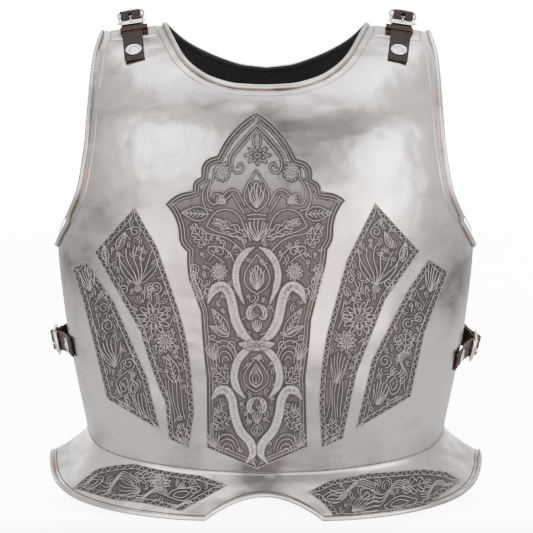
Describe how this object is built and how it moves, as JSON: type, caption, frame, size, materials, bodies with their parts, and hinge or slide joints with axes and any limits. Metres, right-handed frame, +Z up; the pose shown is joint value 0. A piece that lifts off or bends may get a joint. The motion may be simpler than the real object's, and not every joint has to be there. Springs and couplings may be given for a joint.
{
  "type": "steel cuirass with breastplate and backplate",
  "caption": "Steel cuirass: etched breastplate and plain backplate with flared flanges, joined by buckled leather straps.",
  "frame": {"origin": "centre of the bounding box's footprint, on the surface it stands on", "axes": "+Z up, the wearer faces -Y, +X to the wearer's left"},
  "size_m": [0.4384, 0.2738, 0.4897],
  "materials": {
    "steel": "polished, etched panels",
    "leather": "satin",
    "nickel": "polished",
    "rivet_steel": "satin"
  },
  "bodies": {
    "root": {"breastplate": "steel", "backplate": "steel", "front_flange": "steel", "back_flange": "steel", "right_shoulder_front_strap": "leather", "right_shoulder_buckle_strap": "leather", "right_shoulder_buckle_frame": "nickel", "right_shoulder_buckle_roller": "nickel", "right_shoulder_buckle_prong": "nickel", "right_shoulder_front_rivet": "rivet_steel", "right_shoulder_back_rivet": "rivet_steel", "right_shoulder_keeper": "leather", "left_shoulder_front_strap": "leather", "left_shoulder_buckle_strap": "leather", "left_shoulder_buckle_frame": "nickel", "left_shoulder_buckle_roller": "nickel", "left_shoulder_buckle_prong": "nickel", "left_shoulder_front_rivet": "rivet_steel", "left_shoulder_back_rivet": "rivet_steel", "left_shoulder_keeper": "leather", "right_side_front_strap": "leather", "right_side_buckle_strap": "leather", "right_side_buckle_frame": "nickel", "right_side_buckle_roller": "nickel", "right_side_buckle_prong": "nickel", "right_side_front_rivet": "rivet_steel", "right_side_back_rivet": "rivet_steel", "left_side_front_strap": "leather", "left_side_buckle_strap": "leather", "left_side_buckle_frame": "nickel", "left_side_buckle_roller": "nickel", "left_side_buckle_prong": "nickel", "left_side_front_rivet": "rivet_steel", "left_side_back_rivet": "rivet_steel"}
  },
  "joints": []
}
